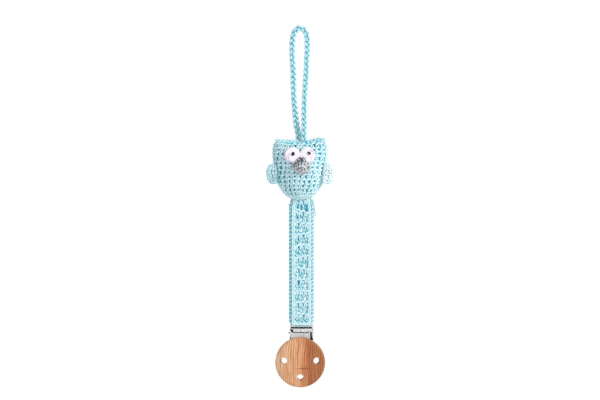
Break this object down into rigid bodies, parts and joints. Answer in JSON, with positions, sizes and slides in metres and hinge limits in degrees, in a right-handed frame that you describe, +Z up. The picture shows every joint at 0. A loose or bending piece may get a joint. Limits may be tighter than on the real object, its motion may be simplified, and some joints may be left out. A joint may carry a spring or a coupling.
{
  "type": "pacifier clip",
  "caption": "Crocheted owl soother holder: braided hanging loop, stuffed owl, crocheted strap, and a sprung metal clip with a drilled wooden disc on its lever.",
  "frame": {"origin": "inside top of the hanging loop, where the holder hangs", "axes": "+Z up along the hanging loop, -Y the side that the owl faces, +X to the viewer's right"},
  "size_m": [0.05, 0.034, 0.2629],
  "materials": {
    "aqua_yarn": "soft matt mercerised cotton yarn",
    "pink_yarn": "flecked pink and white yarn",
    "black_yarn": "dark embroidery yarn",
    "grey_yarn": "grey and white marled yarn",
    "stuffing": "polyester fibre fill",
    "label_satin": "woven satin",
    "nickel": "nickel plated steel",
    "spring_steel": "plain spring steel",
    "pad_plastic": "moulded",
    "beech": "sanded and lightly oiled"
  },
  "bodies": {
    "owl": {"hanging_loop": "aqua_yarn", "owl_shell": "aqua_yarn", "owl_stuffing": "stuffing", "top_seam": "aqua_yarn", "left_eye": "pink_yarn", "right_eye": "pink_yarn", "left_pupil": "black_yarn", "right_pupil": "black_yarn", "beak": "grey_yarn"},
    "left_wing": {"left_wing": "aqua_yarn"},
    "right_wing": {"right_wing": "aqua_yarn"},
    "strap": {"strap": "aqua_yarn", "fold_stitches": "aqua_yarn", "care_label": "label_satin"},
    "clip": {"clip_frame": "nickel", "frame_pad": "pad_plastic", "hinge_pin": "nickel", "tongue_rivet": "nickel"},
    "tongue": {"tongue": "spring_steel", "tongue_pad": "pad_plastic"},
    "lever": {"clip_lever": "nickel", "wood_disc": "beech", "disc_screws": "nickel"}
  },
  "joints": [
    {"name": "left_wing_flap", "type": "hinge", "parent": "owl", "child": "left_wing", "pos_m": [-0.0176, -0.0076, -0.1036], "axis": [-0.1392, 0, 0.9903], "range_deg": [-10, 60], "stiffness_Nm_per_rad": 0.0004},
    {"name": "right_wing_flap", "type": "hinge", "parent": "owl", "child": "right_wing", "pos_m": [0.0176, -0.0076, -0.1036], "axis": [-0.1392, 0, -0.9903], "range_deg": [-10, 60], "stiffness_Nm_per_rad": 0.0004},
    {"name": "strap_swing", "type": "hinge", "parent": "owl", "child": "strap", "pos_m": [0.0009, 0, -0.1239], "axis": [1, 0, 0], "range_deg": [-60, 60]},
    {"name": "clip_swing", "type": "hinge", "parent": "strap", "child": "clip", "pos_m": [0.0009, 0, -0.2143], "axis": [1, 0, 0], "range_deg": [-60, 60]},
    {"name": "lever_open", "type": "hinge", "parent": "clip", "child": "lever", "pos_m": [0.00025, -0.0014, -0.2189], "axis": [-1, 0, 0], "range_deg": [0, 100]},
    {"name": "tongue_flex", "type": "hinge", "parent": "clip", "child": "tongue", "pos_m": [0.0009, 0.0006, -0.2188], "axis": [-1, 0, 0], "range_deg": [0, 5]}
  ],
  "couplings": [
    {"joint": "tongue_flex", "follows": "lever_open", "ratio": 0.05}
  ]
}
